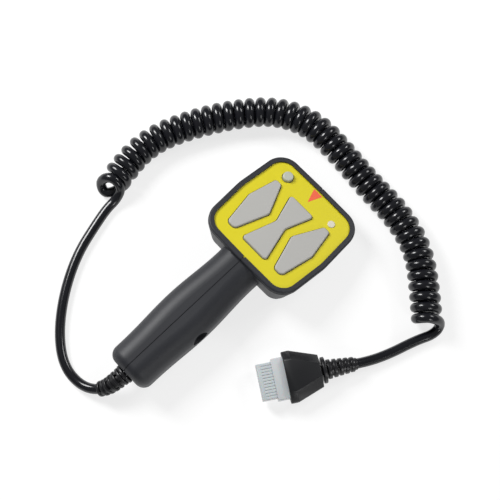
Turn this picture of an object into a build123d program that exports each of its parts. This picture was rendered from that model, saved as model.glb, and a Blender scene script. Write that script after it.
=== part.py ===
# Pendant control station: a two-half pistol-grip hand controller with a tilted square head, five
# keys behind a yellow face plate, and a curly cord that ends in a twelve-way in-line connector.
# Millimetres. It lies on its flat back: +Z up, +Y from the grip's end to the head, +X to the right of
# somebody who reads the face. The origin is under the middle of the controller, on the surface.
import os
from math import cos, pi, radians, sin, tan

from build123d import *

os.makedirs("parts", exist_ok=True)

# ---------------------------------------------------------------- driving dimensions
# Controller body
grip_length = 109.1        # grip's end to the head's lower edge
grip_thick = 35.0
grip_end_width = 34.6
grip_belly_width = 38.4
grip_neck_width = 34.4
grip_corner = 13.5         # radius of the grip's long edges
grip_end_round = 7.5
head_width = 86.2
head_height = 83.6         # along the tilted face
head_corner = 15.3
head_side_bulge = 2.9      # how much wider the head is half way up than at its corners
head_tilt = 13.0           # degrees between the face and the back
head_draft = 13.0           # degrees by which the head's sides draw in
face_rise = 2.0            # face's lower edge above the grip's front
back_round = 11.0
rim_depth = 3.6            # straight rim round the face before the draft starts
rim_round = 1.4
gutter_top = 2.3           # thin groove round the head, under the rim's lip
gutter_height = 0.8
gutter_depth = 0.6
wall = 3.0
seam_width = 0.5
seam_depth = 0.6
bezel_width = 3.9

# Face plate and keys, depths measured down from the rim's top
plate_recess = 1.2
plate_lip_thick = 1.1
plate_flange_thick = 1.1
flange_groove = 0.8        # how far the groove is cut into the head's wall
plate_clearance = 0.1
key_gap = 0.55
key_proud = 0.5            # key tops above the rim
key_flange = 1.1           # flange beyond the key's outline
key_flange_thick = 0.95
key_edge_round = 1.0
key_travel = 1.0
rocker_swing = 2.8         # degrees each way
rocker_lever = 11.0        # pivot to each plunger
pivot_depth = 5.2
power_key_d = 7.7
power_key_proud = 1.3      # its top above the rim
indicator_d = 5.4

# Circuit board and switches
board_depth = 11.5
board_thick = 1.6
board_margin = 5.4         # board's edge inside the head's outline
switch_size = 6.2
switch_height = 3.9
stem_r = 1.7
stem_proud = 1.4           # stem above the switch's body
post_d = 5.0
screw_d = 2.2

# Housing screws
shell_screw_d = 3.0
screw_head_d = 6.0
grip_screw_y = 53.0        # from the grip's end
grip_screw_z = 22.0        # above the back
grip_recess_d = 12.6
grip_recess_depth = 5.0
head_recess_d = 7.0
boss_wall = 1.2
thread_end_x = -13.5       # where the left half's screw bosses end

# Cord, strain reliefs and in-line connector
cable_d = 7.2
coil_d = 22.0
relief_neck_d = 10.0
relief_flange_d = 15.0
grip_collar_d = 14.6
plug_flange_d = 18.6
plug_shell_height = 18.6
plug_shell_length = 24.6
plug_front_width = 36.2
plug_back_width = 22.5
plug_bevel = 7.5
plug_wall = 2.0
connector_pitch = 4.2
connector_columns = 6
connector_rows = 2
connector_nose = 10.7      # narrow, ribbed length in front of the step
connector_collar = 8.4     # wider length between the step and the shell
core_d = 1.3

# ---------------------------------------------------------------- derived places
tilt = radians(head_tilt)
draft = tan(radians(head_draft))
length = grip_length + head_height * cos(tilt)
grip_end = -length / 2
head_y = grip_end + grip_length
axis_z = grip_thick / 2
face = Plane(origin=(0, head_y, grip_thick + face_rise), x_dir=(1, 0, 0), z_dir=(0, sin(tilt), cos(tilt)))

lip_bottom = plate_recess + plate_lip_thick
plate_bottom = lip_bottom + plate_flange_thick
flange_margin = wall - flange_groove
key_flange_top = plate_bottom + 0.15
key_bottom = key_flange_top + key_flange_thick
board_bottom = board_depth + board_thick
switch_top = board_depth - switch_height
stem_top_depth = switch_top - stem_proud
middle_y = 0.49 * head_height
rocker_y = middle_y - 1.5
face_key_x = 21.2          # middle of the side keys
power_place = (-23.0, head_height - 13.2)
indicator_place = (23.0, head_height - 15.4)
floor_cut = Pos(0, 0, 150) * Box(600, 600, 300)


# ---------------------------------------------------------------- helpers
def save(shape, name):
    shape.label = name
    export_step(shape, "parts/" + name + ".step")


def group(solids):
    return Compound(children=list(solids))


def corners(sketch, points, radius):
    """Round the sketch's corners at these points."""
    picked = [v for v in sketch.vertices() if any(abs(v.X - x) + abs(v.Y - y) < 0.01 for x, y in points)]
    return fillet(picked, radius)


def mirrored(points):
    """Close a right-hand run of points with its mirror image."""
    return points + [(-x, y) for x, y in reversed(points)]


def on_face(sketch, top, bottom):
    """Solid of a sketch in the face's plane between two depths under the rim's top."""
    return extrude(face * Pos(0, 0, -bottom) * sketch, bottom - top)


def disc(place, radius):
    return Pos(*place) * Circle(radius)


def tube_x(y, z, radius, start, end):
    """Round bar along X."""
    return Plane(origin=(start, y, z), x_dir=(0, 1, 0), z_dir=(1, 0, 0)) * extrude(Circle(radius), end - start)


# ---------------------------------------------------------------- housing form
def head_outline(margin=0.0):
    """Rounded square whose four sides swell a little to the middle."""
    half = head_width / 2
    corner_x = half - head_side_bulge
    corner_low = (corner_x, 0.5)
    corner_high = (corner_x, head_height - 0.5)
    side = (half, middle_y)
    right = [corner_low, side, corner_high]
    points = [(0, 0)] + right + [(0, head_height)] + [(-x, y) for x, y in reversed(right)]
    sketch = make_face(Polyline(*points, close=True))
    four = [corner_low, corner_high, (-corner_x, 0.5), (-corner_x, head_height - 0.5)]
    sketch = corners(sketch, four, head_corner)
    sketch = corners(sketch, [side, (-half, middle_y)], 30)
    sketch = corners(sketch, [(0, 0), (0, head_height)], 80)
    if margin:
        sketch = offset(sketch, -margin)
    return sketch


def grip_form(inset):
    """Grip that swells to a belly and runs on into the head."""
    belly = 0.54 * grip_length
    shoulder = 0.33 * grip_length
    half_way = (grip_end_width + grip_belly_width) / 2
    half_neck = (grip_neck_width + grip_belly_width) / 2
    stations = [(inset, grip_end_width - 0.4), (0.13 * grip_length, grip_end_width), (shoulder, half_way)]
    stations += [(belly, grip_belly_width), (0.74 * grip_length, half_neck)]
    stations += [(0.95 * grip_length, grip_neck_width), (grip_length + 22, grip_neck_width - 0.8)]
    sections = []
    for along, width in stations:
        plane = Plane(origin=(0, grip_end + along, axis_z), x_dir=(1, 0, 0), z_dir=(0, 1, 0))
        size = (width - 2 * inset, grip_thick - 2 * inset)
        sections.append(plane * RectangleRounded(*size, grip_corner - inset))
    form = loft(sections)
    end_y = grip_end + inset
    end_edges = [e for e in form.edges() if abs(e.center().Y - end_y) < 0.01]
    return fillet(end_edges, max(grip_end_round - inset, 1.0))


def head_form(inset, top, rim):
    """Wedge-shaped head between a depth under the rim's top and the flat back."""
    deep = 1.3 * (grip_thick + face_rise)
    upper = face * Pos(0, 0, -rim) * head_outline(inset)
    lower = face * Pos(0, 0, -deep) * head_outline(inset + (deep - rim) * draft)
    form = loft([upper, lower], ruled=True)
    if rim > top:
        form = form + on_face(head_outline(inset), top, rim)
    form = form & (Pos(0, 0, inset) * floor_cut)
    back_edges = [e for e in form.edges() if e.bounding_box().max.Z < inset + 0.01]
    return fillet(back_edges, max(back_round - inset, 2.0))


outside = head_form(0, 0, rim_depth) + grip_form(0)
rim_edges = [e for e in outside.edges() if all(abs(face.to_local_coords(v.center()).Z) < 0.01
                                                for v in e.vertices())]
outside = fillet(rim_edges, rim_round)
inside = head_form(wall, plate_bottom + 0.05, rim_depth) + grip_form(wall)

seat = on_face(head_outline(bezel_width), -1, plate_bottom + 0.1)
seat += on_face(head_outline(flange_margin), lip_bottom - 0.05, plate_bottom + 0.05)
tab_low = Pos(0, bezel_width - 0.1) * Rectangle(1.0, 1.4)
tab_room = Pos(0, bezel_width - 0.1) * Rectangle(1.4, 1.8)
seat += on_face(tab_room, -1, lip_bottom)
notch_top = Pos(0, head_height) * Rectangle(1.0, 1.4)
seat += on_face(notch_top, -1, lip_bottom)

gutter = on_face(head_outline(-gutter_height), -1, gutter_top + gutter_height)
gutter = gutter - on_face(head_outline(0), -1, gutter_top)
gutter = gutter - on_face(head_outline(gutter_depth), -2, gutter_top + gutter_height + 1)

seam_core = head_form(seam_depth, seam_depth, rim_depth) + grip_form(seam_depth)
seam = (Pos(0, 0, grip_thick / 2) * Box(seam_width, 3 * length, 3 * grip_thick)) - seam_core

# Screw bosses run across the housing: the right half has the recess and the seat, the left the thread.
grip_screw = (grip_end + grip_screw_y, grip_screw_z)
head_screw = (head_y + 6.0, 8.5)
seat_thick = 2.4


def boss(place, recess_d, seat_x, thread_x):
    """Boss across both halves, its recess from the right, its clearance hole and its thread."""
    body = tube_x(*place, recess_d / 2 + boss_wall, 0, head_width / 2)
    body += tube_x(*place, screw_head_d / 2 + boss_wall, thread_x, 0)
    recess = tube_x(*place, recess_d / 2, seat_x, head_width)
    shank = tube_x(*place, shell_screw_d / 2 + 0.2, 0, seat_x)
    thread = tube_x(*place, shell_screw_d / 2, thread_x + 2.0, 0)
    return body & outside, recess, shank, thread


grip_seat_x = grip_belly_width / 2 - grip_recess_depth - 0.6
head_seat_x = 6.0
grip_boss, grip_recess, grip_shank, grip_thread = boss(grip_screw, grip_recess_d, grip_seat_x, thread_end_x)
head_boss, head_recess, head_shank, head_thread = boss(head_screw, head_recess_d, head_seat_x, thread_end_x)

clamp_y = grip_end + 22.0
clamp_reach = 9.0
clamp_width = 7.0
pillar_x = grip_end_width / 2 - 4.0
clamp_pillars = [tube_x(clamp_y, axis_z + side * clamp_reach, 3.0, -cable_d / 2, pillar_x) for side in (-1, 1)]
anvil_length = grip_end_width / 2 - cable_d / 2 - 1.9
clamp_anvil = Pos(cable_d / 2 + anvil_length / 2, clamp_y, axis_z) * Box(anvil_length, clamp_width, 10)
clamp_pilots = [tube_x(clamp_y, axis_z + side * clamp_reach, screw_d / 2, -cable_d / 2, 8.0) for side in (-1, 1)]

relief_hole_r = relief_neck_d / 2
relief_hole = Plane(origin=(0, grip_end - 1, axis_z), x_dir=(1, 0, 0), z_dir=(0, 1, 0))
relief_hole = relief_hole * extrude(Circle(relief_hole_r), wall + 2)

housing = outside - inside - seat - seam - gutter
housing += (grip_boss + head_boss)
for bar in clamp_pillars + [clamp_anvil]:
    housing += bar & outside
housing = housing - grip_recess - grip_shank - head_recess - head_shank - grip_thread - head_thread
housing -= relief_hole
for pilot in clamp_pilots:
    housing -= pilot
half_space = Pos(-head_width, 0, 0) * Box(2 * head_width, 3 * length, 6 * grip_thick)
clamp_side = Pos(-2, clamp_y, axis_z) * Box(4.01, 12, 2 * clamp_reach + 8)
left = housing & half_space
right = housing - half_space
left = left - clamp_side
right = max((right + (housing & clamp_side)).solids(), key=lambda s: s.volume)
left = max(left.solids(), key=lambda s: s.volume)
save(left, "left_shell")
save(right, "right_shell")

# ---------------------------------------------------------------- key outlines
side_key_points = [(31.4, middle_y - 1.5), (26.9, 62.3), (21.6, 62.3), (11.1, middle_y - 1.5), (19.6, 13.4),
                   (26.8, 13.4)]


def side_key(side, grow=0.0):
    """Long hexagon with its points up and down; side is 1 for the right key."""
    points = [(side * x, y) for x, y in side_key_points]
    sketch = make_face(Polyline(*points, close=True))
    sketch = corners(sketch, [points[0], points[3]], 4.5)
    sketch = corners(sketch, [points[1], points[2]], 2.2)
    sketch = corners(sketch, [points[4], points[5]], 3.2)
    if grow:
        sketch = offset(sketch, grow)
    return sketch


def rocker_key(grow=0.0):
    """Hourglass with its waist over the pivot."""
    points = mirrored([(11.8, 12.9), (4.3, rocker_y + 0.4), (11.4, 61.9)])
    sketch = make_face(Polyline(*points, close=True))
    sketch = corners(sketch, [points[1], points[4]], 5.0)
    sketch = corners(sketch, [points[0], points[2], points[3], points[5]], 2.0)
    if grow:
        sketch = offset(sketch, grow)
    return sketch


# ---------------------------------------------------------------- face plate
plate_posts = [(-30.5, 12.0), (30.5, 12.0), (-31.4, head_height - 12.0), (31.4, head_height - 12.0)]
plate = on_face(head_outline(bezel_width + plate_clearance), plate_recess, lip_bottom + 0.01)
plate += on_face(head_outline(flange_margin + plate_clearance), lip_bottom, plate_bottom)
plate += on_face(tab_low, plate_recess, lip_bottom + 0.01)
for place in plate_posts:
    plate += on_face(disc(place, post_d / 2), plate_bottom - 0.01, board_depth)
for sign in (-1, 1):
    plate -= on_face(side_key(sign, key_gap), -1, plate_bottom + 0.5)
plate -= on_face(rocker_key(key_gap), -1, plate_bottom + 0.5)
plate -= on_face(disc(power_place, power_key_d / 2 + key_gap), -1, plate_bottom + 0.5)
plate -= on_face(disc(indicator_place, indicator_d / 2), -1, plate_bottom + 0.5)
for place in plate_posts:
    plate -= on_face(disc(place, screw_d / 2), board_depth - 6, board_depth + 0.5)
save(plate, "face_plate")


# ---------------------------------------------------------------- keys and their switches
def push_key(outline, flange_outline, place, hollow, proud=key_proud):
    """Cap with a retaining flange, a hollow underside and a post that stands on the switch's stem."""
    cap = on_face(outline, -proud, key_bottom)
    top_z = proud - 0.01
    rim = [e for e in cap.edges() if all(face.to_local_coords(v.center()).Z > top_z for v in e.vertices())]
    cap = fillet(rim, key_edge_round)
    cap += on_face(flange_outline, key_flange_top, key_bottom)
    cap -= on_face(hollow, 1.4, key_bottom + 0.5)
    return cap + on_face(disc(place, stem_r), 0.5, stem_top_depth)


switch_places = {
    "left": (-face_key_x, rocker_y),
    "right": (face_key_x, rocker_y),
    "power": power_place,
    "raise": (0.0, rocker_y + rocker_lever),
    "lower": (0.0, rocker_y - rocker_lever),
}

for name, sign in (("left", -1), ("right", 1)):
    key = push_key(side_key(sign), side_key(sign, key_flange), switch_places[name], side_key(sign, -1.8))
    save(key, "key_" + name)
power_cap = disc(power_place, power_key_d / 2)
power_flange = disc(power_place, power_key_d / 2 + key_flange)
power_hollow = disc(power_place, power_key_d / 2 - 1.3)
save(push_key(power_cap, power_flange, power_place, power_hollow, power_key_proud), "power_key")

cavity_top = switch_top + 0.6
collar_top = switch_top + 1.4
collar_bottom = collar_top + 0.8
for name, place in switch_places.items():
    body = on_face(Pos(*place) * RectangleRounded(switch_size, switch_size, 0.5), switch_top, board_depth)
    body -= on_face(disc(place, stem_r + 0.2), switch_top - 1, cavity_top + 0.01)
    body -= on_face(disc(place, stem_r + 0.8), cavity_top, board_depth - 0.5)
    save(body, "switch_" + name)
    stem = on_face(disc(place, stem_r), stem_top_depth, collar_bottom)
    stem += on_face(disc(place, stem_r + 0.5), collar_top, collar_bottom)
    save(stem, "switch_stem_" + name)

# ---------------------------------------------------------------- rocker, its pin and bracket
pin_r = 1.0
ear_x = 6.4
ear_thick = 1.6
lug_half = 4.0
rocker_bottom = key_flange_top + 0.3
rocker = on_face(rocker_key(), -key_proud, rocker_bottom)
top_edges = [e for e in rocker.edges()
             if all(face.to_local_coords(v.center()).Z > key_proud - 0.01 for v in e.vertices())]
rocker = fillet(top_edges, key_edge_round)
rocker -= on_face(rocker_key(-1.8), 1.4, rocker_bottom + 0.5)
rocker += on_face(Pos(0, rocker_y) * Rectangle(2 * lug_half, 4.4), 1.0, pivot_depth + 2.0)
for side in (-1, 1):
    nub = Pos(0, rocker_y + side * rocker_lever) * Rectangle(3.0, 1.6)
    rocker += on_face(nub, 1.0, stem_top_depth - 0.05)
bearing_gap = 0.06
pivot = face.from_local_coords(Vector(0, rocker_y, -pivot_depth))
rocker -= tube_x(pivot.Y, pivot.Z, pin_r + bearing_gap, -lug_half - 1, lug_half + 1)
save(rocker, "rocker_key")
save(tube_x(pivot.Y, pivot.Z, pin_r, -ear_x - ear_thick, ear_x + ear_thick), "rocker_pin")

bracket = on_face(Pos(0, rocker_y) * Rectangle(2 * (ear_x + ear_thick), 6.0), board_depth - 1.2, board_depth)
for side in (-1, 1):
    ear = Pos(side * (ear_x + ear_thick / 2), rocker_y) * Rectangle(ear_thick, 6.0)
    bracket += on_face(ear, pivot_depth - 1.6, board_depth)
bracket -= tube_x(pivot.Y, pivot.Z, pin_r, -ear_x - 3 * ear_thick, ear_x + 3 * ear_thick)
save(bracket, "rocker_bracket")

# ---------------------------------------------------------------- indicator
led_r = 1.5
lens = on_face(disc(indicator_place, indicator_d / 2), plate_recess - 0.6, plate_bottom + 0.2)
lens = fillet([e for e in lens.edges() if face.to_local_coords(e.center()).Z > 0.55 - plate_recess], 0.5)
lens += on_face(disc(indicator_place, indicator_d / 2 + 1.0), plate_bottom, plate_bottom + 0.8)
save(lens, "indicator_lens")
led = on_face(disc(indicator_place, led_r), plate_bottom + 1.6, board_depth)
led = fillet([e for e in led.edges() if face.to_local_coords(e.center()).Z > -plate_bottom - 1.7], led_r - 0.1)
led += on_face(disc(indicator_place, led_r + 0.3), board_depth - 1.0, board_depth)
save(led, "indicator_lamp")

# ---------------------------------------------------------------- circuit board, its screws and header
board = on_face(head_outline(board_margin), board_depth, board_bottom)
for place in plate_posts:
    board -= on_face(disc(place, screw_d / 2 + 0.2), board_depth - 1, board_bottom + 1)
save(board, "circuit_board")

screws = []
for place in plate_posts:
    screw = on_face(disc(place, screw_d / 2), board_depth - 5, board_bottom)
    screw += on_face(disc(place, screw_d), board_bottom, board_bottom + 1.3)
    slot = Pos(*place) * (Rectangle(2.4, 0.5) + Rectangle(0.5, 2.4))
    screws.append(screw - on_face(slot, board_bottom + 0.6, board_bottom + 2))
save(group(screws), "board_screws")

cores = 6
core_pitch = 2.0
header_y = 25.0
header_depth = 6.0
header_size = (cores * core_pitch + 3, 6.0)
save(on_face(Pos(0, header_y) * Rectangle(*header_size), board_bottom, board_bottom + header_depth), "board_header")
wire_plug_y = header_y - header_size[1] / 2 - 3.0
wire_plug = on_face(Pos(0, wire_plug_y) * Rectangle(header_size[0] - 1, 6.0), board_bottom + 0.4,
                    board_bottom + header_depth - 0.4)
save(wire_plug, "wire_plug")

# ---------------------------------------------------------------- cord routes (points chosen by hand)
tail_grip_points = [(0, -83.5, 17.5), (0, -101, 17.5), (-4.2, -115.3, 8.8), (-17, -123.7, 3.6),
                    (-36, -123.1, 3.6), (-56, -110, 3.6), (-75, -88, 3.6), (-89.5, -62.5, 3.6),
                    (-97, -36.5, 3.6), (-101, -14, 5)]
coil_points = [(-106.4, -18.5, 11), (-113.3, 8.8, 11), (-113, 34.2, 11), (-103, 60.3, 11), (-87.1, 88.9, 11),
               (-67.1, 113.8, 11), (-40.7, 126.2, 11), (-10, 125.1, 11), (20, 122.1, 11), (50, 121.5, 11),
               (77, 114, 11), (99, 98, 11), (118.5, 80.5, 11)]
tail_plug_points = [(115.5, 87.5, 8), (127.8, 84, 3.6), (124.6, 72, 3.6), (119.8, 62, 3.6), (114.6, 48.5, 3.6),
                    (107.3, 32.8, 4.6), (98.5, 15.6, 9.3), (88.9, 0.3, 9.3)]


def route(points, name):
    """Straight runs joined by arcs as large as the two runs beside each corner allow."""
    places = [Vector(*p) for p in points]
    radii = []
    for before, here, after in zip(places, places[1:], places[2:]):
        turn = radians((here - before).get_angle(after - here))
        shorter = min((here - before).length, (after - here).length)
        radii.append(0.45 * shorter / tan(turn / 2))
    print(name, "radii", [round(r, 1) for r in radii])
    return FilletPolyline(*places, radius=radii)


def tube(path, radius, name):
    start = Plane(origin=path.position_at(0), z_dir=path.tangent_at(0))
    solid = sweep(start * Circle(radius), path=path)
    print(name, "volume", round(solid.volume), "section x length", round(pi * radius ** 2 * path.length))
    return solid


grip_route = route(tail_grip_points, "cord_tail_grip")
coil_route = route(coil_points, "cord_coil")
plug_route = route(tail_plug_points, "cord_tail_plug")
tail_grip = tube(grip_route, cable_d / 2, "cord_tail_grip")
tail_plug = tube(plug_route, cable_d / 2, "cord_tail_plug")
save(tail_grip, "cord_tail_grip")
save(tube(coil_route, coil_d / 2, "cord_coil"), "cord_coil")
save(tail_plug, "cord_tail_plug")


def relief(path, stations):
    """Round sleeve that tapers along the cable, from (distance, radius) stations."""
    sections = []
    for distance, radius in stations:
        place = path.position_at(distance, position_mode=PositionMode.LENGTH)
        along = path.tangent_at(distance, position_mode=PositionMode.LENGTH)
        sections.append(Plane(origin=place, z_dir=along) * Circle(radius))
    return loft(sections)


def ring(plane, radius, start, end):
    return plane * Pos(0, 0, start) * extrude(Circle(radius), end - start)


# Grip's strain relief: neck through the end wall, flange behind it, collar and tapered sleeve outside.
cable_start = Vector(*tail_grip_points[0])
exit_run = cable_start.Y - grip_end
stations = [(exit_run + 1.0, 6.9), (exit_run + 7, 6.7), (exit_run + 14, 6.1), (exit_run + 22, 5.2)]
sleeve = relief(grip_route, stations)
grip_axis = Plane(origin=(0, grip_end, axis_z), x_dir=(1, 0, 0), z_dir=(0, -1, 0))
for radius, start, end in ((grip_collar_d / 2, 0, 2.0), (relief_neck_d / 2, -wall - 0.2, 0.1),
                           (relief_flange_d / 2, -wall - 2.6, -wall - 0.1)):
    sleeve += ring(grip_axis, radius, start, end)
save(sleeve - tail_grip, "grip_strain_relief")

# ---------------------------------------------------------------- in-line connector
plug_spot = Vector(92.1, 5.4, 9.3)
plug_heading = (Vector(*tail_plug_points[-2]) - Vector(*tail_plug_points[-1])).normalized()
plug = Plane(origin=plug_spot, x_dir=(plug_heading.Y, -plug_heading.X, 0), z_dir=(0, 0, 1))
shell_back = -2.3
shell_front = shell_back - plug_shell_length


def plug_box(width, height, start, end, grow=0.0):
    middle = Pos(0, (start + end) / 2, 0)
    return plug * middle * Box(width + 2 * grow, abs(end - start), height + 2 * grow)


def shell_section(along, width, inset, bevel):
    """Eight-sided section: flat top and bottom with wide bevels."""
    half = width / 2 - inset
    high = plug_shell_height / 2 - inset
    points = mirrored([(half - bevel, -high), (half, -high + 0.75 * bevel), (half, high - 0.75 * bevel),
                       (half - bevel, high)])
    plane = plug * Pos(0, along, 0) * Rot(90, 0, 0)
    return plane * make_face(Polyline(*points, close=True))


def shell_form(inset):
    straight = shell_front + 5.5
    front = shell_section(shell_front, plug_front_width, inset, plug_bevel)
    knee = shell_section(straight, plug_front_width, inset, plug_bevel)
    back = shell_section(shell_back - inset, plug_back_width, inset, 0.75 * plug_bevel)
    return loft([front, knee], ruled=True) + loft([knee, back], ruled=True)


nose_width = connector_pitch * connector_columns
nose_height = connector_pitch * (connector_rows - 1) + 5.4
collar_width = nose_width + 3.8
collar_height = nose_height + 1.6
step = shell_front - connector_collar
tip = step - connector_nose
collar_end = shell_front + 6.0

shell = shell_form(0)
back_edges = [e for e in shell.edges()
              if all(plug.to_local_coords(v.center()).Y > shell_back - 0.01 for v in e.vertices())]
shell = fillet(back_edges, 1.6)
hollow = shell_form(plug_wall) & plug_box(60, 60, shell_front + plug_wall, 0)
shell = shell - hollow - plug_box(collar_width, collar_height, shell_front - 1, collar_end, 0.05)
plug_axis = Plane(origin=plug_spot, x_dir=plug.x_dir, z_dir=-plug_heading)
shell -= ring(plug_axis, relief_neck_d / 2, 0, 8)
upper_half = plug * Pos(0, 0, 30) * Box(120, 120, 60)
save(shell & upper_half, "plug_shell_upper")
save(shell - upper_half, "plug_shell_lower")

# Connector housing: ribbed nose with a cavity for each contact, and the wider collar behind it.
connector = plug_box(nose_width, nose_height, tip, step + 0.1)
connector += plug_box(collar_width, collar_height, step, collar_end)
columns = [connector_pitch * (i - (connector_columns - 1) / 2) for i in range(connector_columns)]
rows = [connector_pitch * (i - (connector_rows - 1) / 2) for i in range(connector_rows)]
cavity = 3.0
contact = 2.6
contacts = []
for x in columns:
    for z in rows:
        hole = plug * Pos(x, (tip + collar_end) / 2, z) * Box(cavity, collar_end - tip + 2, cavity)
        connector -= hole
        body = plug * Pos(x, tip + 7.5, z) * Box(contact, 12, contact)
        contacts.append(body - plug * Pos(x, tip + 5.5, z) * Box(contact - 0.8, 10, contact - 0.8))
save(connector, "connector_housing")
save(group(contacts), "connector_contacts")

# Plug's strain relief: flange outside the shell, neck through its back wall, flange inside.
back_run = Vector(*tail_plug_points[-1])
inside_run = (plug_spot - back_run).dot(plug_heading)
total = plug_route.length


def from_plug(distance):
    """Distance along the tail's route of a place this far up the cable from the plug's flange."""
    return total - inside_run - distance


stations = [(from_plug(23.5), 5.0), (from_plug(15), 5.9), (from_plug(8), 6.6), (from_plug(0.5), 7.2)]
plug_sleeve = relief(plug_route, stations)
for radius, start, end in ((plug_flange_d / 2, -1.2, 1.2), (relief_neck_d / 2, 1.1, -shell_back + plug_wall + 0.1),
                           (7.0, -shell_back + plug_wall + 0.05, -shell_back + plug_wall + 1.6)):
    plug_sleeve += ring(plug_axis, radius, start, end)
save(plug_sleeve - tail_plug, "plug_strain_relief")


# ---------------------------------------------------------------- cores inside the grip and the plug
def core(points):
    places = [Vector(*p) for p in points]
    path = FilletPolyline(*places, radius=2.5)
    start = Plane(origin=path.position_at(0), z_dir=path.tangent_at(0))
    return sweep(start * Circle(core_d / 2), path=path)


wires = []
plug_mouth = wire_plug_y - 3.0
for i in range(cores):
    spread = core_pitch * (i - (cores - 1) / 2)
    near_x = 1.6 * (i // 2 - 1)
    near_z = axis_z + 0.8 * (1 if i % 2 else -1)
    low_z = grip_screw_z - grip_recess_d / 2 - boss_wall - 2.6 - 1.7 * (i % 2)
    mouth = face.from_local_coords(Vector(spread, plug_mouth, -board_bottom - header_depth / 2))
    before = face.from_local_coords(Vector(spread, plug_mouth - 6, -board_bottom - header_depth / 2))
    grip_y = grip_screw[0]
    wires.append(core([(near_x, cable_start.Y, near_z), (near_x, cable_start.Y + 12, near_z),
                       (1.4 * near_x, grip_y - 12, low_z), (1.4 * near_x, grip_y + 14, low_z),
                       tuple(before), tuple(mouth)]))
save(group(wires), "core_wires")

plug_wires = []
for i, x in enumerate(columns):
    near_x = 1.6 * (i // 2 - 1)
    near_z = 0.8 * (1 if i % 2 else -1)
    row_z = rows[i % 2]
    points = [(near_x, -inside_run, near_z), (near_x, -inside_run - 3, near_z), (x, collar_end + 2.5, row_z),
              (x, tip + 13.5, row_z)]
    plug_wires.append(core([tuple(plug.from_local_coords(Vector(*p))) for p in points]))
save(group(plug_wires), "plug_wires")

# ---------------------------------------------------------------- cable clamp and housing screws
clamp_plate_thick = 2.4
clamp = Pos(-cable_d / 2 - clamp_plate_thick / 2, clamp_y, axis_z)
clamp = clamp * Box(clamp_plate_thick, clamp_width, 2 * clamp_reach + 6)
for side in (-1, 1):
    clamp -= tube_x(clamp_y, axis_z + side * clamp_reach, screw_d / 2 + 0.1, -12, 0)
save(clamp, "cable_clamp")


def screw_x(y, z, seat_x, tip_x, shank_r, head_r, head_length):
    """Pan-head screw along X; its head is on the far side of the seat from its tip."""
    out = 1 if seat_x > tip_x else -1
    screw = tube_x(y, z, shank_r, min(seat_x, tip_x), max(seat_x, tip_x))
    head_end = seat_x + out * head_length
    screw += tube_x(y, z, head_r, min(seat_x, head_end), max(seat_x, head_end))
    cross = Box(1.2, 0.6, head_r * 1.2) + Box(1.2, head_r * 1.2, 0.6)
    return screw - Pos(head_end, y, z) * cross


clamp_seat_x = -cable_d / 2 - clamp_plate_thick
clamp_screws = [screw_x(clamp_y, axis_z + side * clamp_reach, clamp_seat_x, 6.0, screw_d / 2, screw_d, 1.5)
                for side in (-1, 1)]
save(group(clamp_screws), "clamp_screws")
shell_screws = [
    screw_x(*grip_screw, grip_seat_x, thread_end_x + 2.2, shell_screw_d / 2, screw_head_d / 2, 2.2),
    screw_x(*head_screw, head_seat_x, thread_end_x + 2.2, shell_screw_d / 2, screw_head_d / 2, 2.2),
]
save(group(shell_screws), "shell_screws")
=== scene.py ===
# Looks of the pendant control station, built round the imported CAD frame. Metres, in the CAD's frame:
# +Z up, +Y from the grip's end to the head, +X to the right of somebody who reads the face.
from math import cos, pi, radians, sin

import bpy
from mathutils import Matrix, Vector


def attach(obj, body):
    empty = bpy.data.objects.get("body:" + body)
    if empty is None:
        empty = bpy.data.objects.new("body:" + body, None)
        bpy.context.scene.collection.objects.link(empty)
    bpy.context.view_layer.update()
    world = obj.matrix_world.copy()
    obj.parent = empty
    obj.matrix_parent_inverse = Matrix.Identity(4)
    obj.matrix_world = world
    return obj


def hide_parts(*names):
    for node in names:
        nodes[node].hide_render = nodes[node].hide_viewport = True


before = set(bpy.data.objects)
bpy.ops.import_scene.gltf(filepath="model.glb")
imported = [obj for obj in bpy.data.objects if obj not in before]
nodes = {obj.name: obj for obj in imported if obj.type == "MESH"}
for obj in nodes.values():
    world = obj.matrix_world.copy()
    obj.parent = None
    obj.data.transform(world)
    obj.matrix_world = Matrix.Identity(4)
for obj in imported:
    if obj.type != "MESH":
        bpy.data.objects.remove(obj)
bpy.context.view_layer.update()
MM = 0.001
UPRIGHT = Matrix.Identity(4)

# ---------------------------------------------------------------- camera
# The lens looks down on the face from the right of the grip. The picture stands the grip on the
# left and the connector on the right.
camera_azimuth = radians(46.2)
camera_elevation = radians(76.6)
camera_distance = 0.8
aim = Vector((-6.72, 29.25, 0)) * MM
back = Vector((sin(camera_azimuth) * cos(camera_elevation),
               -cos(camera_azimuth) * cos(camera_elevation),
               sin(camera_elevation)))
bpy.ops.object.camera_add(location=aim + back * camera_distance)
camera = bpy.context.object
camera.name = "camera"
camera.rotation_euler = back.to_track_quat("Z", "Y").to_euler()
camera.data.sensor_width = 36
camera.data.lens = 80.06
camera.data.clip_start = 0.01
bpy.context.scene.camera = camera

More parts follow.
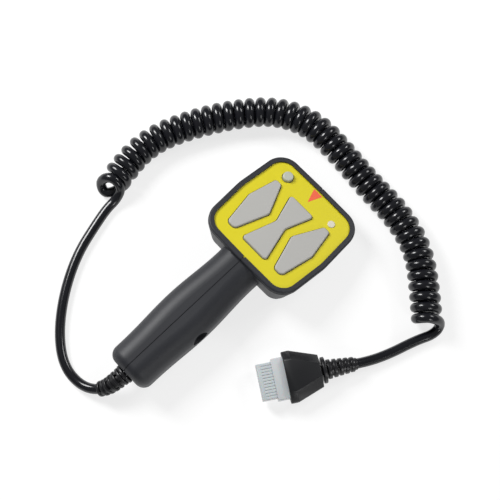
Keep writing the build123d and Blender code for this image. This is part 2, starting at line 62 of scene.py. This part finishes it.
# ---------------------------------------------------------------- cord
# One run of glossy black cable: a tail from the grip, 44 left-handed turns round the coil's line, and a
# short tail into the connector. The turns are points of the same spline.
cable_d = 7.2
coil_d = 22.0
tail_grip_points = [(0, -83.5, 17.5), (0, -101, 17.5), (-4.2, -115.3, 8.8), (-17, -123.7, 3.6),
                    (-36, -123.1, 3.6), (-56, -110, 3.6), (-75, -88, 3.6), (-89.5, -62.5, 3.6),
                    (-97, -36.5, 3.6)]
first_turn_points = [(-99.9, -24.1, 3.5), (-100, -16, 4.3), (-101.4, -8.9, 9), (-104.4, -6.9, 15),
                     (-109.8, -8, 18), (-114.2, -11.1, 15.5), (-116, -14.9, 10), (-113.3, -17.2, 5),
                     (-109.6, -17.4, 3.6), (-107, -14.6, 3.6), (-105.4, -10, 3.6), (-103.9, -5.6, 4.4),
                     (-102.9, -2.8, 7.5), (-102.6, -1.6, 11.4)]
coil_points = [(-106.4, -18.5, 11), (-113.3, 8.8, 11), (-113, 34.2, 11), (-103, 60.3, 11), (-87.1, 88.9, 11),
               (-67.1, 113.8, 11), (-40.7, 126.2, 11), (-10, 125.1, 11), (20, 122.1, 11), (50, 121.5, 11),
               (77, 114, 11), (99, 98, 11), (118.5, 80.5, 11)]
last_turn_points = [(119.4, 84.2, 17.4), (121.8, 86.2, 14.6), (123.7, 87.4, 11), (125.1, 87.4, 7.6),
                    (126.3, 86, 4.8)]
tail_plug_points = [(127.1, 82.6, 3.6), (126.1, 77, 3.6), (123.5, 71.5, 3.6), (120.3, 63, 3.6),
                    (115.8, 48.5, 3.6), (109.5, 33.5, 4.8), (98.5, 15.6, 9.3), (88.9, 0.3, 9.3)]


def nurbs(name, points, resolution=12):
    """Open curve of one smooth spline with these control points, in millimetres."""
    data = bpy.data.curves.new(name, "CURVE")
    data.dimensions = "3D"
    spline = data.splines.new("NURBS")
    spline.points.add(len(points) - 1)
    for place, point in zip(points, spline.points):
        point.co = (*(Vector(place) * MM), 1)
    spline.order_u = 3
    spline.use_endpoint_u = True
    data.resolution_u = resolution
    piece = bpy.data.objects.new(name, data)
    bpy.context.scene.collection.objects.link(piece)
    return piece


class Path:
    """The line of a spline with these control points, read at any distance from its start."""

    def __init__(self, points):
        piece = nurbs("route", points)
        bpy.context.view_layer.update()
        mesh = bpy.data.meshes.new_from_object(piece.evaluated_get(bpy.context.evaluated_depsgraph_get()))
        self.line = [v.co / MM for v in mesh.vertices]
        bpy.data.objects.remove(piece)
        bpy.data.meshes.remove(mesh)
        self.reach = [0.0]
        for a, b in zip(self.line, self.line[1:]):
            self.reach.append(self.reach[-1] + (b - a).length)
        self.length = self.reach[-1]

    def at(self, distance):
        distance = min(max(distance, 0.0), self.length - 1e-6)
        i = max(k for k in range(len(self.reach) - 1) if self.reach[k] <= distance)
        share = (distance - self.reach[i]) / (self.reach[i + 1] - self.reach[i])
        return self.line[i].lerp(self.line[i + 1], share)

    def along(self, distance, step=1.0):
        return (self.at(distance + step) - self.at(distance - step)).normalized()


def coil_turns(path):
    """Helix round the coil's line: over the top from right to left, with slightly uneven turns."""
    steps = 14             # control points in each turn
    first_turn = 1 - 60 / 360
    last_turn = 43.0
    first_reach = 17.2     # of the first whole turn's top, along the coil's line
    end_gap = 2.3          # from the last turn's top to the end of the coil's line
    look_ahead = 3.0
    radius = (coil_d - cable_d) / 2 / (0.75 + 0.25 * cos(2 * pi / steps))
    count = int((last_turn - first_turn) * steps)
    points = []
    for k in range(count + 1):
        share = k / count
        turn = first_turn + (last_turn - first_turn) * share
        angle = radians(90) - 2 * pi * (turn - 1)
        uneven = (0.5 * sin(9.0 * share + 0.6) + 0.35 * sin(23.0 * share)) * sin(pi * share)
        reach = first_reach + (turn - 1) * (path.length - end_gap - first_reach) / (last_turn - 1) + uneven
        ahead = path.along(reach, look_ahead)
        left = Vector((-ahead.y, ahead.x, 0)).normalized()
        size = radius * (1 + 0.02 * sin(0.61 * turn + 1.0))
        place = path.at(reach) + size * cos(angle) * left - ahead * cos(angle)
        place.z = max(path.at(reach).z + size * sin(angle), cable_d / 2 + 0.05)
        points.append(tuple(place))
    return points


grip_path = Path(tail_grip_points)
plug_path = Path(tail_plug_points)
cord_points = tail_grip_points + first_turn_points + coil_turns(Path(coil_points))
cord_points += last_turn_points + tail_plug_points
cord = nurbs("cord", cord_points, 8)
cord.data.bevel_depth = cable_d / 2 * MM
cord.data.bevel_resolution = 7
cord.data.use_fill_caps = True


def socket(group, name, kind, way, value=None):
    """Add one input or output to a node group."""
    made = group.interface.new_socket(name=name, in_out=way, socket_type="NodeSocket" + kind)
    if value is not None:
        made.default_value = value


def texture_group():
    """Moulded surface: fine spark texture in the normal, and slow patches for uneven gloss and colour."""
    group = bpy.data.node_groups.new("moulded_texture", "ShaderNodeTree")
    socket(group, "Scale", "Float", "INPUT", 2200.0)
    socket(group, "Depth", "Float", "INPUT", 0.3)
    socket(group, "Normal", "Vector", "OUTPUT")
    socket(group, "Grain", "Float", "OUTPUT")
    socket(group, "Patches", "Float", "OUTPUT")
    net = group.nodes
    link = group.links.new
    source = net.new("NodeGroupInput")
    result = net.new("NodeGroupOutput")
    place = net.new("ShaderNodeTexCoord")
    grain = net.new("ShaderNodeTexNoise")
    grain.inputs["Detail"].default_value = 2.0
    grain.inputs["Roughness"].default_value = 0.6
    pits = net.new("ShaderNodeTexVoronoi")
    patches = net.new("ShaderNodeTexNoise")
    patches.inputs["Scale"].default_value = 45.0
    patches.inputs["Detail"].default_value = 4.0
    mix = net.new("ShaderNodeMath")
    mix.operation = "MULTIPLY_ADD"
    mix.inputs[1].default_value = 0.6
    bump = net.new("ShaderNodeBump")
    bump.inputs["Distance"].default_value = 0.00006
    for node in (grain, pits, patches):
        link(place.outputs["Object"], node.inputs["Vector"])
    link(source.outputs["Scale"], grain.inputs["Scale"])
    link(source.outputs["Scale"], pits.inputs["Scale"])
    link(pits.outputs["Distance"], mix.inputs[0])
    link(grain.outputs["Fac"], mix.inputs[2])
    link(mix.outputs[0], bump.inputs["Height"])
    link(source.outputs["Depth"], bump.inputs["Strength"])
    link(bump.outputs["Normal"], result.inputs["Normal"])
    link(grain.outputs["Fac"], result.inputs["Grain"])
    link(patches.outputs["Fac"], result.inputs["Patches"])
    return group


def speck_group():
    """Mask of fine specks and scuffs."""
    group = bpy.data.node_groups.new("specks", "ShaderNodeTree")
    socket(group, "Scale", "Float", "INPUT", 900.0)
    socket(group, "Amount", "Float", "INPUT", 0.2)
    socket(group, "Mask", "Float", "OUTPUT")
    net = group.nodes
    link = group.links.new
    source = net.new("NodeGroupInput")
    result = net.new("NodeGroupOutput")
    place = net.new("ShaderNodeTexCoord")
    noise = net.new("ShaderNodeTexNoise")
    noise.inputs["Detail"].default_value = 6.0
    ramp = net.new("ShaderNodeValToRGB")
    ramp.color_ramp.elements[0].position = 0.6
    ramp.color_ramp.elements[1].position = 0.8
    scale = net.new("ShaderNodeMath")
    scale.operation = "MULTIPLY"
    link(place.outputs["Object"], noise.inputs["Vector"])
    link(source.outputs["Scale"], noise.inputs["Scale"])
    link(noise.outputs["Fac"], ramp.inputs["Fac"])
    link(ramp.outputs["Color"], scale.inputs[0])
    link(source.outputs["Amount"], scale.inputs[1])
    link(scale.outputs[0], result.inputs["Mask"])
    return group


texture = texture_group()
specks = speck_group()


def finish(name, colour, rough, scale=2200.0, depth=0.3, shade=0.85, spread=0.12, dust=0.1, **extra):
    """Moulded plastic, rubber or metal: colour and gloss vary over the surface, with a fine bump."""
    made = bpy.data.materials.new(name)
    made.use_nodes = True
    net = made.node_tree.nodes
    link = made.node_tree.links.new
    surface = net["Principled BSDF"]
    grain = net.new("ShaderNodeGroup")
    grain.node_tree = texture
    grain.inputs["Scale"].default_value = scale
    grain.inputs["Depth"].default_value = depth
    speck = net.new("ShaderNodeGroup")
    speck.node_tree = specks
    speck.inputs["Scale"].default_value = scale * 0.35
    speck.inputs["Amount"].default_value = dust
    tone = net.new("ShaderNodeMix")
    tone.data_type = "RGBA"
    tone.inputs["A"].default_value = (*[c * shade for c in colour], 1)
    tone.inputs["B"].default_value = (*colour, 1)
    dusty = net.new("ShaderNodeMix")
    dusty.data_type = "RGBA"
    dusty.inputs["B"].default_value = (*[min(1.0, c * 1.6 + 0.02) for c in colour], 1)
    gloss = net.new("ShaderNodeMapRange")
    gloss.inputs["To Min"].default_value = max(0.0, rough - spread)
    gloss.inputs["To Max"].default_value = min(1.0, rough + spread)
    link(grain.outputs["Patches"], tone.inputs["Factor"])
    link(tone.outputs["Result"], dusty.inputs["A"])
    link(speck.outputs["Mask"], dusty.inputs["Factor"])
    link(dusty.outputs["Result"], surface.inputs["Base Color"])
    link(grain.outputs["Patches"], gloss.inputs["Value"])
    link(gloss.outputs["Result"], surface.inputs["Roughness"])
    link(grain.outputs["Normal"], surface.inputs["Normal"])
    for key, value in extra.items():
        surface.inputs[key.replace("_", " ")].default_value = value
    return made


def dress(made, *pieces):
    """Give these pieces this material and no other."""
    for piece in pieces:
        piece.data.materials.clear()
        piece.data.materials.append(made)


cord_black = finish("cord_black", (0.008, 0.0085, 0.0115), 0.2, 900, 0.03, 0.85, 0.05, 0.04)
dress(cord_black, cord, nodes["cord_tail_grip"], nodes["cord_coil"], nodes["cord_tail_plug"])
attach(cord, "housing")
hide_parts("cord_tail_grip", "cord_coil", "cord_tail_plug")

# ---------------------------------------------------------------- surroundings
# A pale floor that runs out past the view, in a bright white room, with three soft boxes.
bpy.ops.mesh.primitive_plane_add(size=6.0, location=(0, 0, -0.0001))
floor = bpy.context.object
floor.name = "floor"
dress(finish("floor_white", (0.32, 0.32, 0.32), 0.8, 300, 0.0, 1.0, 0.05, 0.0, Emission_Color=(1, 1, 1, 1),
             Emission_Strength=0.74, Specular_IOR_Level=0.1), floor)

world = bpy.data.worlds.new("studio")
bpy.context.scene.world = world
world.use_nodes = True
world.node_tree.nodes["Background"].inputs["Color"].default_value = (1.0, 1.0, 1.0, 1)
world.node_tree.nodes["Background"].inputs["Strength"].default_value = 0.16
bpy.context.scene.view_settings.view_transform = "Standard"


def softbox(name, place, size, power):
    """Rectangular area light at a place, turned towards the middle of the object."""
    bpy.ops.object.light_add(type="AREA", location=place)
    light = bpy.context.object
    light.name = name
    light.data.shape = "RECTANGLE"
    light.data.size = size[0]
    light.data.size_y = size[1]
    light.data.energy = power
    light.rotation_euler = (Vector(place) - Vector((0, 0.02, 0))).to_track_quat("Z", "Y").to_euler()


softbox("light_left", (-0.72, -0.06, 0.68), (0.3, 0.45), 9.3)
softbox("light_right", (0.95, -0.2, 0.6), (0.2, 0.5), 2.2)
softbox("light_back", (0.2, 0.95, 0.75), (0.45, 0.25), 4.2)

# ---------------------------------------------------------------- housing halves
# Two moulded halves of black glass-filled nylon with a fine spark texture, screwed together along the
# grip's middle.
housing_black = finish("housing_black", (0.0185, 0.020, 0.0255), 0.52, 1500, 0.4, 0.8, 0.04, 0.08,
                       Specular_IOR_Level=0.5)
dress(housing_black, nodes["left_shell"], nodes["right_shell"])

# ---------------------------------------------------------------- face plate and its mark
# Satin yellow plate held in a groove of the housing. An orange-red triangle is pad-printed between
# the power key and the indicator.
grip_length = 109.1
grip_thick = 35.0
head_height = 83.6
face_rise = 2.0
plate_recess = 1.2
tilt = radians(13.0)
grip_end = -(grip_length + head_height * cos(tilt)) / 2
head_y = grip_end + grip_length
face_turn = Matrix.Rotation(-tilt, 4, "X")
face = Matrix.Translation(Vector((0, head_y, grip_thick + face_rise)) * MM) @ face_turn

dress(finish("plate_yellow", (0.70, 0.61, 0.006), 0.46, 2600, 0.15, 0.97, 0.05, 0.03), nodes["face_plate"])


def only(piece):
    """Make one object the selected and active one."""
    bpy.ops.object.select_all(action="DESELECT")
    piece.select_set(True)
    bpy.context.view_layer.objects.active = piece


def settle(piece, name, place=UPRIGHT):
    """Name a piece and put its place into its mesh, so that its object sits at the origin."""
    piece.data.transform(place @ piece.matrix_basis)
    piece.matrix_basis = UPRIGHT
    piece.name = name
    piece.data.name = name
    return piece


def modify(piece, kind, **settings):
    """Add one modifier with these settings and apply it."""
    only(piece)
    bpy.ops.object.modifier_add(type=kind)
    modifier = piece.modifiers[-1]
    for key, value in settings.items():
        setattr(modifier, key, value)
    bpy.ops.object.modifier_apply(modifier=modifier.name)


def pick(piece, kind, test):
    """Select, in edit mode, the faces or edges whose middle passes the test."""
    bpy.ops.object.mode_set(mode="EDIT")
    bpy.ops.mesh.select_all(action="DESELECT")
    bpy.ops.mesh.select_mode(type="FACE" if kind == "faces" else "EDGE")
    bpy.ops.object.mode_set(mode="OBJECT")
    mesh = piece.data
    for one in (mesh.polygons if kind == "faces" else mesh.edges):
        ends = [mesh.vertices[i].co / MM for i in one.vertices]
        one.select = test(sum(ends, Vector()) / len(ends), ends)
    bpy.ops.object.mode_set(mode="EDIT")


def done():
    """Turn all normals outward and leave edit mode."""
    bpy.ops.mesh.select_all(action="SELECT")
    bpy.ops.mesh.normals_make_consistent(inside=False)
    bpy.ops.mesh.select_all(action="DESELECT")
    bpy.ops.object.mode_set(mode="OBJECT")


mark_width = 8.2
mark_height = 11.0
mark_thick = 0.12
mark_place = (-0.1, 74.9, -plate_recess + 0.02)
bpy.ops.object.select_all(action="DESELECT")
bpy.ops.mesh.primitive_cylinder_add(vertices=3, radius=MM, depth=mark_thick * MM)
mark = bpy.context.object
mark.rotation_euler = (0, 0, radians(180))
mark.scale = (mark_width / (2 * sin(radians(60))), mark_height / 1.5, 1)
settle(mark, "plate_mark")
modify(mark, "BEVEL", width=0.5 * MM, segments=4, affect="VERTICES")
settle(mark, "plate_mark", face @ Matrix.Translation(Vector(mark_place) * MM))
dress(finish("mark_red", (0.86, 0.13, 0.055), 0.4, 2600, 0.1, 0.97, 0.05, 0.03), mark)
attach(mark, "housing")

# ---------------------------------------------------------------- keys and indicator
# Five keys of satin grey ABS stand just proud of the plate; the round one is slightly warmer. The
# indicator is a frosted lens over a small lamp.
key_grey = finish("key_grey", (0.445, 0.44, 0.42), 0.5, 2400, 0.2, 0.97, 0.05, 0.04)
power_grey = finish("power_grey", (0.48, 0.50, 0.42), 0.4, 2400, 0.15, 0.96, 0.05, 0.04)
dress(key_grey, nodes["key_left"], nodes["key_right"], nodes["rocker_key"])
dress(power_grey, nodes["power_key"])
dress(finish("lens_cream", (0.72, 0.68, 0.55), 0.25, 2000, 0.05, 0.97, 0.05, 0.0), nodes["indicator_lens"])
dress(finish("lamp_clear", (0.7, 0.25, 0.15), 0.15, 2000, 0.05, 0.97, 0.05, 0.0), nodes["indicator_lamp"])

# ---------------------------------------------------------------- inner works
# Circuit board with tactile switches under the keys, the rocker's pin and bracket, the cable clamp,
# the wires and the screws.
nylon_black = finish("nylon_black", (0.02, 0.02, 0.02), 0.5)
switch_black = finish("switch_black", (0.03, 0.03, 0.032), 0.5)
stem_brown = finish("stem_brown", (0.18, 0.1, 0.05), 0.45)
wire_red = finish("wire_red", (0.5, 0.03, 0.02), 0.35)
screw_steel = finish("screw_steel", (0.3, 0.3, 0.31), 0.35, 1800, 0.25, Metallic=1.0)
nylon_white = finish("nylon_white", (0.55, 0.58, 0.60), 0.35, 1800, 0.1, 0.95, 0.06, 0.03,
                     Subsurface_Weight=0.25, Subsurface_Scale=0.004)
dress(finish("board_green", (0.015, 0.12, 0.04), 0.35, 1200, 0.2), nodes["circuit_board"])
dress(finish("pin_steel", (0.6, 0.6, 0.6), 0.2, 1800, 0.1, Metallic=1.0), nodes["rocker_pin"])
dress(nylon_black, nodes["rocker_bracket"], nodes["cable_clamp"])
dress(wire_red, nodes["core_wires"], nodes["plug_wires"])
dress(screw_steel, nodes["board_screws"], nodes["clamp_screws"], nodes["shell_screws"])
dress(nylon_white, nodes["board_header"], nodes["wire_plug"])
for switch in ("left", "right", "power", "raise", "lower"):
    dress(switch_black, nodes["switch_" + switch])
    dress(stem_brown, nodes["switch_stem_" + switch])

# ---------------------------------------------------------------- grip's strain relief
# Soft PVC sleeve moulded on the cable: a collar against the grip, then rings that taper along the
# cable. Neighbouring rings are joined by webs on alternate sides, so that the sleeve can bend.
relief_black = finish("relief_black", (0.012, 0.012, 0.014), 0.34, 1400, 0.2, 0.85, 0.08, 0.06)
web_cut = 0.55             # of a ring's radius, from the middle to a web's flat side
web_reach = 0.86           # of a ring's radius, to a web's round side
web_overlap = 0.4
core_lead = 2              # of the core, before the first ring
core_steps = 6
sleeve_core = 4.3
grip_collar_radius = 7.3
grip_collar_thick = 2.0
grip_rings = [6.9, 6.7, 6.5, 6.2, 5.9, 5.6]
grip_rings_start = 2.6


def aligned(path, distance):
    """Matrix that stands Z along the cable at this distance, with X level."""
    ahead = path.along(distance)
    side = Vector((ahead.y, -ahead.x, 0)).normalized()
    turn = Matrix((side, ahead.cross(side), ahead)).transposed().to_4x4()
    return Matrix.Translation(path.at(distance) * MM) @ turn


def collar_ring(radius, thick, soften, place):
    """Ring round the cable, with softened edges."""
    bpy.ops.object.select_all(action="DESELECT")
    bpy.ops.mesh.primitive_cylinder_add(vertices=48, radius=radius * MM, depth=thick * MM)
    ring = bpy.context.object
    modify(ring, "BEVEL", width=soften * MM, segments=3, limit_method="ANGLE", angle_limit=radians(40))
    return settle(ring, "ring", place)


def web(radius, thick, side, place):
    """Sector between two rings, on one side of the cable."""
    bpy.ops.object.select_all(action="DESELECT")
    bpy.ops.mesh.primitive_cylinder_add(vertices=48, radius=radius * MM, depth=thick * MM)
    sector = bpy.context.object
    bpy.ops.object.mode_set(mode="EDIT")
    bpy.ops.mesh.select_all(action="SELECT")
    bpy.ops.mesh.bisect(plane_co=(side * web_cut * radius * MM, 0, 0), plane_no=(side, 0, 0), use_fill=True,
                        clear_inner=True)
    done()
    return settle(sector, "web", place)


def sleeve(name, path, start, radii, pitch, thick, core_radius):
    """Rings of these radii along the cable, on a core, with webs on alternate sides."""
    length = pitch * (len(radii) - 1) + thick
    core_points = [path.at(start - core_lead + (length + core_lead) * k / core_steps)
                   for k in range(core_steps + 1)]
    core = nurbs(name, core_points)
    core.data.bevel_depth = core_radius * MM
    core.data.bevel_resolution = 6
    core.data.use_fill_caps = True
    only(core)
    bpy.ops.object.convert(target="MESH")
    parts = [bpy.context.object]
    for k, radius in enumerate(radii):
        distance = start + thick / 2 + pitch * k
        parts.append(collar_ring(radius, thick, 0.5, aligned(path, distance)))
        if k < len(radii) - 1:
            quarter = Matrix.Rotation(radians(90) * (k % 2), 4, "Z")
            for side in (-1, 1):
                place = aligned(path, distance + pitch / 2) @ quarter
                parts.append(web(web_reach * radius, pitch - thick + web_overlap, side, place))
    return parts


def joined(parts, name):
    """Join the parts into one piece, smooth apart from its sharp edges."""
    bpy.ops.object.select_all(action="DESELECT")
    for part in parts:
        part.select_set(True)
    bpy.context.view_layer.objects.active = parts[0]
    bpy.ops.object.join()
    piece = settle(bpy.context.object, name)
    bpy.ops.object.shade_smooth_by_angle(angle=radians(35))
    return piece


exit_run = tail_grip_points[0][1] - grip_end
grip_collar = collar_ring(grip_collar_radius, grip_collar_thick, 0.5,
                          aligned(grip_path, exit_run + grip_collar_thick / 2))
grip_sleeve = sleeve("grip_sleeve", grip_path, exit_run + grip_rings_start, grip_rings, 3.6, 2.1, sleeve_core)
grip_relief = joined([grip_collar] + grip_sleeve, "grip_relief")
dress(relief_black, grip_relief, nodes["grip_strain_relief"])
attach(grip_relief, "housing")
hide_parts("grip_strain_relief")

# ---------------------------------------------------------------- plug's strain relief
# The same sleeve at the plug, behind a thin flange that closes the shell's back.
flange_radius = 9.3
flange_thick = 2.4
plug_rings = [5.3, 5.7, 6.1, 6.5, 6.9]
plug_rings_reach = 21.4    # from the flange back along the cable
plug_spot = Vector((92.1, 5.4, 9.3))
plug_end = Vector(tail_plug_points[-1])
plug_heading = (Vector(tail_plug_points[-2]) - plug_end).normalized()
plug_turn = Matrix((Vector((plug_heading.y, -plug_heading.x, 0)), plug_heading, Vector((0, 0, 1))))
plug_frame = Matrix.Translation(plug_spot * MM) @ plug_turn.transposed().to_4x4()
flange_reach = plug_path.length - (plug_spot - plug_end).length
plug_flange = collar_ring(flange_radius, flange_thick, 0.45, aligned(plug_path, flange_reach))
plug_sleeve = sleeve("plug_sleeve", plug_path, flange_reach - plug_rings_reach, plug_rings,
                     4.1, 2.7, sleeve_core)
plug_relief = joined([plug_flange] + plug_sleeve, "plug_relief")
dress(relief_black, plug_relief, nodes["plug_strain_relief"])
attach(plug_relief, "housing")
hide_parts("plug_strain_relief")

# ---------------------------------------------------------------- plug shell
# Two halves of black ABS that close on the connector's collar: flat top, wide chamfers, and a taper
# to the cable. The halves meet in a fine parting line.
shell_back = -2.3
shell_length = 24.6
shell_height = 18.6
shell_front = shell_back - shell_length
front_width = 36.2
back_width = 22.5
chamfer = 6.6
straight_front = 5.5       # of the sides, before they taper
mouth_wall = 2.6
mouth_depth = 1.2
plug_black = finish("plug_black", (0.007, 0.0075, 0.0095), 0.45, 1500, 0.3, 0.85, 0.06, 0.06)


def plug_half(name, up, node):
    """One half: a block, drawn in at its back, chamfered along its sides and softened all over."""
    high = shell_height / 2
    bpy.ops.object.select_all(action="DESELECT")
    middle = Vector((0, (shell_front + shell_back) / 2, up * high / 2))
    bpy.ops.mesh.primitive_cube_add(size=1, location=middle * MM)
    half = bpy.context.object
    half.scale = (front_width * MM, shell_length * MM, high * MM)
    settle(half, name)
    only(half)
    bpy.ops.object.mode_set(mode="EDIT")
    bpy.ops.mesh.select_all(action="SELECT")
    bpy.ops.mesh.bisect(plane_co=(0, (shell_front + straight_front) * MM, 0), plane_no=(0, 1, 0))
    pick(half, "faces", lambda m, ends: m.y > shell_back - 0.01)
    bpy.ops.transform.resize(value=(back_width / front_width, 1, 1), center_override=(0, 0, 0))
    pick(half, "edges", lambda m, ends: all(abs(p.z - up * high) < 0.01 and abs(p.x) > 5 for p in ends)
         and abs(ends[0].y - ends[1].y) > 1)
    bpy.ops.mesh.bevel(offset=chamfer * MM, segments=1, clamp_overlap=False)
    pick(half, "faces", lambda m, ends: m.y < shell_front + 0.01)
    bpy.ops.mesh.inset(thickness=mouth_wall * MM)
    bpy.ops.mesh.extrude_region_move(TRANSFORM_OT_translate={"value": (0, mouth_depth * MM, 0)})
    pick(half, "edges", lambda m, ends: all(abs(p.z) > 0.1 for p in ends) and m.y > shell_front - 0.01
         and abs(ends[0].y - shell_front - straight_front) > 0.1
         and not all(abs(p.y - shell_front - mouth_depth) < 0.2 for p in ends))
    bpy.ops.mesh.bevel(offset=0.9 * MM, segments=3)
    pick(half, "edges", lambda m, ends: all(abs(p.z) < 0.01 for p in ends))
    bpy.ops.mesh.bevel(offset=0.22 * MM, segments=2)
    done()
    settle(half, name, plug_frame)
    only(half)
    bpy.ops.object.shade_smooth_by_angle(angle=radians(30))
    dress(plug_black, half, nodes[node])
    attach(half, "housing")
    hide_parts(node)
    return half


plug_upper = plug_half("plug_upper", 1, "plug_shell_upper")
plug_lower = plug_half("plug_lower", -1, "plug_shell_lower")

# ---------------------------------------------------------------- connector
# Translucent natural nylon: a two by six nose with a cavity for each contact and fine ribs along its
# faces, and a wider smooth collar that the shell holds. The contacts are tinned.
columns = 6
rows = 2
contact_pitch = 4.2
nose_length = 10.7
collar_length = 8.4
collar_side = 1.9          # past the nose, on its left and right
collar_top = 0.8           # past the nose, above and below
collar_held = 6.0          # inside the shell
nose_width = contact_pitch * columns
nose_height = contact_pitch * (rows - 1) + 5.4
rib_height = 0.35
rib_width = 1.64
lip_start = 0.6            # behind the nose's tip
lip_length = 2.4
cavity_wall = 0.6
cavity_depth = 12.5
collar_step = shell_front - collar_length
nose_tip = collar_step - nose_length
connector_nylon = finish("connector_nylon", (0.58, 0.605, 0.62), 0.35, 1800, 0.1, 0.95, 0.06, 0.03,
                         Subsurface_Weight=0.12, Subsurface_Scale=0.003)


def block(name, low, high, soften):
    """Softened block between two corners in the plug's frame."""
    bpy.ops.object.select_all(action="DESELECT")
    middle = (Vector(low) + Vector(high)) / 2
    bpy.ops.mesh.primitive_cube_add(size=1, location=middle * MM)
    piece = bpy.context.object
    piece.scale = (Vector(high) - Vector(low)) * MM
    settle(piece, name)
    modify(piece, "BEVEL", width=soften * MM, segments=3)
    return piece


bpy.ops.object.select_all(action="DESELECT")
bpy.ops.mesh.primitive_grid_add(x_subdivisions=columns, y_subdivisions=rows, size=1)
nose = bpy.context.object
nose.scale = (nose_width * MM, (nose_height - 2 * rib_height) * MM, 1)
settle(nose, "connector_body",
       Matrix.Translation((0, nose_tip * MM, 0)) @ Matrix.Rotation(radians(90), 4, "X"))
only(nose)
bpy.ops.object.mode_set(mode="EDIT")
bpy.ops.mesh.select_all(action="SELECT")
bpy.ops.mesh.inset(thickness=cavity_wall * MM, use_individual=True)
bpy.ops.mesh.extrude_region_move(TRANSFORM_OT_translate={"value": (0, cavity_depth * MM, 0)})
pick(nose, "edges", lambda m, ends: all(p.y < nose_tip + 0.01 for p in ends)
     and (abs(m.x) > nose_width / 2 - 0.01 or abs(m.z) > nose_height / 2 - rib_height - 0.01))
bpy.ops.mesh.extrude_edges_move(TRANSFORM_OT_translate={"value": (0, (nose_length + 2) * MM, 0)})
bpy.ops.mesh.fill()
done()

nose_parts = [nose]
for side in (-1, 1):
    top = side * nose_height / 2
    low_z, high_z = sorted((top, top - side * (rib_height + 0.3)))
    nose_parts.append(block("lip", (-nose_width / 2, nose_tip + lip_start, low_z),
                            (nose_width / 2, nose_tip + lip_start + lip_length, high_z), 0.12))
    rib_pitch = nose_width / (2 * columns)
    for i in range(2 * columns):
        x = rib_pitch * (i + 0.5) - nose_width / 2
        nose_parts.append(block("rib", (x - rib_width / 2, nose_tip + lip_start + lip_length - 0.2, low_z),
                                (x + rib_width / 2, collar_step + 0.5, high_z), 0.12))
collar_x = nose_width / 2 + collar_side
collar_z = nose_height / 2 + collar_top
nose_parts.append(block("collar", (-collar_x, collar_step, -collar_z),
                        (collar_x, shell_front + collar_held, collar_z), 0.5))
connector = joined(nose_parts, "connector_body")
settle(connector, "connector_body", plug_frame)
dress(connector_nylon, connector, nodes["connector_housing"])
dress(finish("contact_tin", (0.65, 0.62, 0.55), 0.3, 1800, 0.15, Metallic=1.0), nodes["connector_contacts"])
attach(connector, "housing")
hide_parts("connector_housing")
